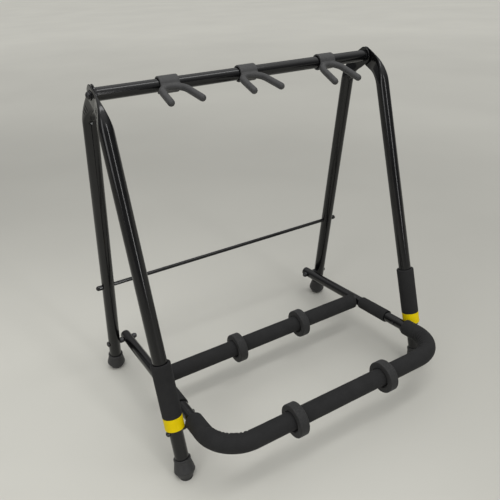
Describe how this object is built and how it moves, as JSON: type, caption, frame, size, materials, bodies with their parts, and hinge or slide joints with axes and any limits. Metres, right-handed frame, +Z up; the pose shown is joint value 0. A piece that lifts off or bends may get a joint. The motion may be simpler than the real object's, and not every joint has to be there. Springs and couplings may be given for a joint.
{
  "type": "folding guitar rack",
  "caption": "Folding steel floor rack for guitars: crossed tube legs, neck rail with sliding forked yokes, padded lower frame with sliding divider rings.",
  "frame": {"origin": "middle of the footprint on the floor", "axes": "+Z up, +Y towards the rear legs, +X towards the right-hand legs as seen by someone facing the rack's front"},
  "size_m": [0.6194, 0.5016, 0.6528],
  "materials": {
    "rail_paint": "gloss black paint",
    "leg_paint": "gloss black paint",
    "rod_paint": "gloss black paint",
    "frame_paint": "gloss black paint",
    "black_steel": "satin black coated steel",
    "plug_plastic": "black moulded plastic",
    "foam": "matte black foam rubber",
    "yellow_band": "satin yellow rubber",
    "foot_rubber": "matte dark rubber",
    "yoke_rubber": "fine textured dark grey rubber",
    "ring_rubber": "matte black rubber"
  },
  "bodies": {
    "front_frame": {"neck_rail": "rail_paint", "rail_end_plugs": "plug_plastic", "pivot_bolts": "black_steel", "pivot_washers": "black_steel", "front_leg_left": "leg_paint", "front_leg_right": "leg_paint", "front_leg_foam_left": "foam", "front_leg_foam_right": "foam", "yellow_band_left": "yellow_band", "yellow_band_right": "yellow_band", "hook_pins": "black_steel", "front_foot_left": "foot_rubber", "front_foot_right": "foot_rubber"},
    "rear_frame": {"rear_leg_left": "leg_paint", "rear_leg_right": "leg_paint", "cross_rod": "rod_paint", "rod_caps": "rod_paint", "lower_pivot_bolts": "black_steel", "lower_pivot_spacers": "black_steel", "lower_pivot_nuts": "black_steel", "rear_foot_left": "foot_rubber", "rear_foot_right": "foot_rubber"},
    "lower_frame": {"side_tube_left": "frame_paint", "side_tube_right": "frame_paint", "side_tube_plugs": "plug_plastic", "rear_bar": "frame_paint", "front_hoop": "frame_paint", "hoop_screws": "black_steel", "rear_bar_foam": "foam", "front_hoop_foam": "foam", "side_sleeve_left": "foam", "side_sleeve_right": "foam"},
    "yoke_left": {"yoke_left": "yoke_rubber"},
    "yoke_middle": {"yoke_middle": "yoke_rubber"},
    "yoke_right": {"yoke_right": "yoke_rubber"},
    "rear_ring_left": {"rear_ring_left": "ring_rubber"},
    "rear_ring_right": {"rear_ring_right": "ring_rubber"},
    "front_ring_left": {"front_ring_left": "ring_rubber"},
    "front_ring_right": {"front_ring_right": "ring_rubber"}
  },
  "joints": [
    {"name": "rear_leg_fold", "type": "hinge", "parent": "front_frame", "child": "rear_frame", "pos_m": [0, 0.08817, 0.636], "axis": [-1, 0, 0], "range_deg": [0, 24]},
    {"name": "lower_frame_fold", "type": "hinge", "parent": "rear_frame", "child": "lower_frame", "pos_m": [0, 0.22212, 0.07], "axis": [-1, 0, 0], "range_deg": [0, 66]},
    {"name": "yoke_left_slide", "type": "slide", "parent": "front_frame", "child": "yoke_left", "axis": [1, 0, 0], "range_m": [-0.0745, 0.0415]},
    {"name": "yoke_middle_slide", "type": "slide", "parent": "front_frame", "child": "yoke_middle", "axis": [1, 0, 0], "range_m": [-0.038, 0.038]},
    {"name": "yoke_right_slide", "type": "slide", "parent": "front_frame", "child": "yoke_right", "axis": [1, 0, 0], "range_m": [-0.065, 0.051]},
    {"name": "rear_ring_left_slide", "type": "slide", "parent": "lower_frame", "child": "rear_ring_left", "axis": [1, 0, 0], "range_m": [-0.149, 0.054]},
    {"name": "rear_ring_right_slide", "type": "slide", "parent": "lower_frame", "child": "rear_ring_right", "axis": [1, 0, 0], "range_m": [-0.065, 0.138]},
    {"name": "front_ring_left_slide", "type": "slide", "parent": "lower_frame", "child": "front_ring_left", "axis": [1, 0, 0], "range_m": [-0.07, 0.086]},
    {"name": "front_ring_right_slide", "type": "slide", "parent": "lower_frame", "child": "front_ring_right", "axis": [1, 0, 0], "range_m": [-0.077, 0.079]}
  ],
  "couplings": [
    {"joint": "lower_frame_fold", "follows": "rear_leg_fold", "ratio": 2.75}
  ]
}
